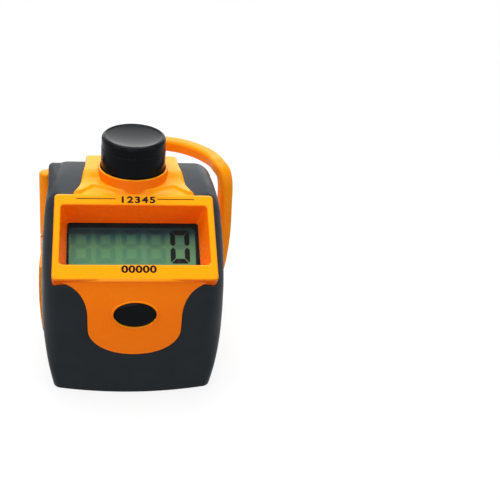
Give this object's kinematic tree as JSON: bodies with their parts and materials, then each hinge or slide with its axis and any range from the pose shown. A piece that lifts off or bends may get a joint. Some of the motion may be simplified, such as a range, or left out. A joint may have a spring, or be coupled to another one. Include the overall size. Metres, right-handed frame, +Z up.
{
  "type": "digital tally counter",
  "caption": "Hand-held electronic tally counter with a round push button on top, a leaning recessed display, a small oval reset button and a hinged finger loop behind.",
  "frame": {"origin": "middle of the flat base that the counter stands on", "axes": "+Z up along the count button's stroke, -Y towards the user who reads the display, +X to the user's right"},
  "size_m": [0.0583, 0.0677, 0.0643],
  "materials": {
    "orange_plastic": "smooth moulded plastic with a soft gloss",
    "black_plastic": "finely grained moulded plastic, satin",
    "button_plastic": "smooth moulded plastic with a soft gloss",
    "clear_plastic": "clear polished acrylic",
    "display_glass": "grey-green liquid crystal glass with a polariser",
    "white_plastic": "plain moulded plastic",
    "flex_film": "amber polyimide film",
    "circuit_board": "green solder resist",
    "black_resin": "cured resin",
    "grey_rubber": "matt silicone rubber",
    "steel": "plated steel",
    "contact_brass": "plated spring brass",
    "lead_insulation": "extruded insulation"
  },
  "bodies": {
    "case": {"front_shell": "black_plastic", "centre_housing": "orange_plastic", "rear_housing": "orange_plastic", "count_spring": "steel", "count_dome": "grey_rubber", "count_board": "circuit_board", "reset_dome": "grey_rubber", "main_board": "circuit_board", "controller_blob": "black_resin", "display_window": "clear_plastic", "display_panel": "display_glass", "display_holder": "white_plastic", "display_flex": "flex_film", "battery_cell": "steel", "battery_contact_negative": "contact_brass", "battery_contact_positive": "contact_brass", "battery_lead_negative": "lead_insulation", "battery_lead_positive": "lead_insulation", "count_lead": "lead_insulation", "battery_door": "orange_plastic", "battery_door_screw": "steel", "case_screw_1": "steel", "case_screw_2": "steel", "case_screw_3": "steel", "case_screw_4": "steel", "main_board_screw_1": "steel", "main_board_screw_2": "steel", "count_board_screw_1": "steel", "count_board_screw_2": "steel", "hinge_pin": "steel"},
    "count_plunger": {"count_button": "button_plastic", "stem_clip": "steel"},
    "reset_plunger": {"reset_button": "button_plastic"},
    "loop": {"finger_loop": "orange_plastic"}
  },
  "joints": [
    {"name": "count_press", "type": "slide", "parent": "case", "child": "count_plunger", "axis": [0, 0, -1], "range_m": [0, 0.0018], "stiffness_N_per_m": 500, "springref_m": -0.0012, "deforming": ["count_spring", "count_dome"]},
    {"name": "reset_press", "type": "slide", "parent": "case", "child": "reset_plunger", "axis": [0, 0.9755, -0.2201], "range_m": [0, 0.0009], "stiffness_N_per_m": 600, "springref_m": -0.0008, "deforming": ["reset_dome"]},
    {"name": "loop_swing", "type": "hinge", "parent": "case", "child": "loop", "pos_m": [-0.02475, 0.0218, 0.03], "axis": [0, 0, 1], "range_deg": [0, 100]}
  ]
}
